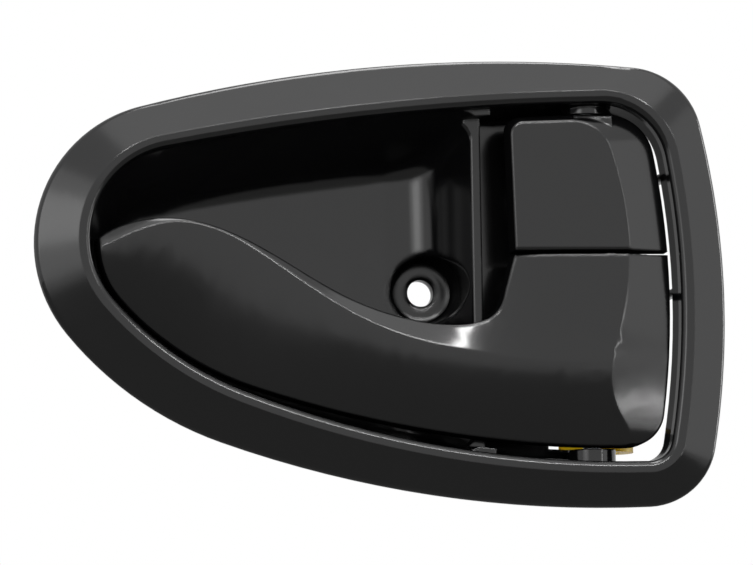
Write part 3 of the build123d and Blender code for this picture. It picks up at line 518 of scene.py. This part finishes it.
class HANDLE_OT_springs(bpy.types.Operator):
    """Colour the two springs and show the return coil as a smoothed copy in its place"""

    bl_idname = "handle.springs"
    bl_label = "Springs"

    def execute(self, context):
        finish = context.scene.handle_finish
        name = "spring_steel_oil_tempered"
        tempered = drawn_metal(name, finish.spring, finish.spring_roughness, LINES_ALONG_X)
        dress(NODES["lock_detent_spring"], tempered)
        coil = merged_copy("pull_return_spring", "return_coil")
        bpy.ops.object.shade_smooth_by_angle(angle=context.scene.handle_edges.coil)
        dress(coil, tempered)
        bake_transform(coil)
        return {"FINISHED"}


class HANDLE_OT_buffers(bpy.types.Operator):
    """Colour the two stop buffers"""

    bl_idname = "handle.buffers"
    bl_label = "Stop buffers"

    def execute(self, context):
        rubber = moulded_rubber(context.scene.handle_finish.rubber)
        for node in ("pull_stop_buffer", "lock_stop_buffer"):
            dress(NODES[node], rubber)
        return {"FINISHED"}


def white_surroundings(scene, ambient):
    """World that looks white, is mirrored white and shows white through clear pieces, and lights matt faces
    more softly."""
    world = bpy.data.worlds.new("white_studio")
    scene.world = world
    world.use_nodes = True
    tree = world.node_tree
    tree.nodes.clear()
    path = add_node(tree, "ShaderNodeLightPath").outputs
    white_for = path["Is Camera Ray"]
    for ray in ("Is Glossy Ray", "Is Transmission Ray"):
        white_for = add_node(tree, "ShaderNodeMath", {0: white_for, 1: path[ray]}, operation="MAXIMUM")
    dim = add_node(tree, "ShaderNodeBackground", {"Color": srgb(WHITE), "Strength": ambient})
    white = add_node(tree, "ShaderNodeBackground", {"Color": srgb(WHITE), "Strength": 1.0})
    mix = add_node(tree, "ShaderNodeMixShader", {0: white_for, 1: dim, 2: white})
    add_node(tree, "ShaderNodeOutputWorld", {"Surface": mix})


def lay_floor(stage):
    """Plain pale floor below the handle, out of the picture."""
    middle = (0, -stage.floor_forward, stage.floor_level)
    bpy.ops.object.select_all(action="DESELECT")
    bpy.ops.mesh.primitive_plane_add(size=stage.floor_size, location=middle)
    floor = bpy.context.active_object
    floor.name = "floor"
    bpy.ops.object.transform_apply(location=True)
    dress(floor, painted_board(stage.floor_colour, stage.floor_roughness))


def add_lamp(name, place, width, height, power, shape="RECTANGLE", gloss_only=False):
    """Lamp that faces the handle; a lamp for the gloss only doesn't light matt faces."""
    lamp = bpy.data.lights.new(name, "AREA")
    lamp.shape = shape
    lamp.size = width
    lamp.size_y = height
    lamp.energy = power
    holder = bpy.data.objects.new(name, lamp)
    bpy.context.scene.collection.objects.link(holder)
    holder.location = place
    holder.rotation_euler = (-Vector(place)).to_track_quat("-Z", "Y").to_euler()
    holder.visible_diffuse = not gloss_only


def hang_lamps():
    """Softboxes that light the handle, and strips that only its gloss mirrors; metres and watts."""
    add_lamp("key_softbox", place=(0.18, -0.66, 0.98), width=1.2, height=0.7, power=2.5)
    add_lamp("right_softbox", place=(1.05, -0.62, 0.13), width=0.5, height=0.9, power=0.7)
    left = {"shape": "ELLIPSE"}
    add_lamp("left_softbox", place=(-0.66, -0.84, 0.25), width=0.36, height=0.36, power=0.55, **left)
    add_lamp("left_glow", place=(-0.66, -0.84, 0.22), width=0.6, height=0.7, power=0.9, **left)
    strip = {"gloss_only": True}
    add_lamp("top_strip", place=(0.1, -0.05, 1.1), width=0.9, height=0.3, power=7.0, **strip)
    add_lamp("right_strip", place=(1.1, 0.0, 0.12), width=0.25, height=0.6, power=3.0, **strip)
    add_lamp("front_strip", place=(0.19, -0.97, 0.68), width=0.9, height=0.06, power=6.5, **strip)
    add_lamp("side_strip", place=(0.8, -0.885, 0.12), width=0.035, height=0.8, power=1.0, **strip)


def place_camera(scene, stage):
    """Camera at the photograph's angle, aimed at the flange."""
    low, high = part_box("housing")
    aim = Vector(((low.x + high.x) / 2 + stage.aim_x, 0, (low.z + high.z) / 2 + stage.aim_z))
    level = math.cos(stage.elevation)
    direction = Vector(
        (math.sin(stage.azimuth) * level, -math.cos(stage.azimuth) * level, math.sin(stage.elevation))
    )
    camera = bpy.data.cameras.new("camera")
    camera.sensor_width = SENSOR_WIDTH
    camera.lens = SENSOR_WIDTH * stage.distance / stage.framed_width
    camera.clip_start = CLIP_START
    eye = bpy.data.objects.new("camera", camera)
    scene.collection.objects.link(eye)
    eye.location = aim + direction * stage.distance
    turn = (-direction).to_track_quat("-Z", "Y") @ Quaternion((0, 0, 1), stage.roll)
    eye.rotation_euler = turn.to_euler()
    scene.camera = eye


class HANDLE_OT_stage(bpy.types.Operator):
    """Set up the studio: white surroundings, floor, lamps and camera"""

    bl_idname = "handle.stage"
    bl_label = "Studio"

    def execute(self, context):
        scene = context.scene
        stage = scene.handle_stage
        scene.view_settings.view_transform = "Standard"
        white_surroundings(scene, stage.ambient)
        lay_floor(stage)
        hang_lamps()
        place_camera(scene, stage)
        return {"FINISHED"}


class HANDLE_PT_panel(bpy.types.Panel):
    """Sidebar panel of the handle"""

    bl_idname = "HANDLE_PT_panel"
    bl_label = "Door handle"
    bl_space_type = "VIEW_3D"
    bl_region_type = "UI"
    bl_category = "Handle"

    def draw(self, context):
        for name, group in GROUPS.items():
            box = self.layout.box()
            for setting in group.__annotations__:
                box.prop(getattr(context.scene, name), setting)
        for operator in OPERATORS:
            self.layout.operator(operator.bl_idname)


GROUPS = {
    "handle_edges": HandleEdges,
    "handle_facet": HandleFacet,
    "handle_finish": HandleFinish,
    "handle_stage": HandleStage,
}
OPERATORS = (
    HANDLE_OT_housing,
    HANDLE_OT_levers,
    HANDLE_OT_clips,
    HANDLE_OT_pin,
    HANDLE_OT_springs,
    HANDLE_OT_buffers,
    HANDLE_OT_stage,
)
CLASSES = (*GROUPS.values(), *OPERATORS, HANDLE_PT_panel)


def register():
    for cls in CLASSES:
        bpy.utils.register_class(cls)
    for name, group in GROUPS.items():
        setattr(bpy.types.Scene, name, bpy.props.PointerProperty(type=group))


def unregister():
    for name in GROUPS:
        delattr(bpy.types.Scene, name)
    for cls in reversed(CLASSES):
        bpy.utils.unregister_class(cls)


def main():
    register()
    bpy.ops.handle.housing()
    bpy.ops.handle.levers()
    bpy.ops.handle.clips()
    bpy.ops.handle.pin()
    bpy.ops.handle.springs()
    bpy.ops.handle.buffers()
    bpy.ops.handle.stage()


if __name__ == "__main__":
    main()
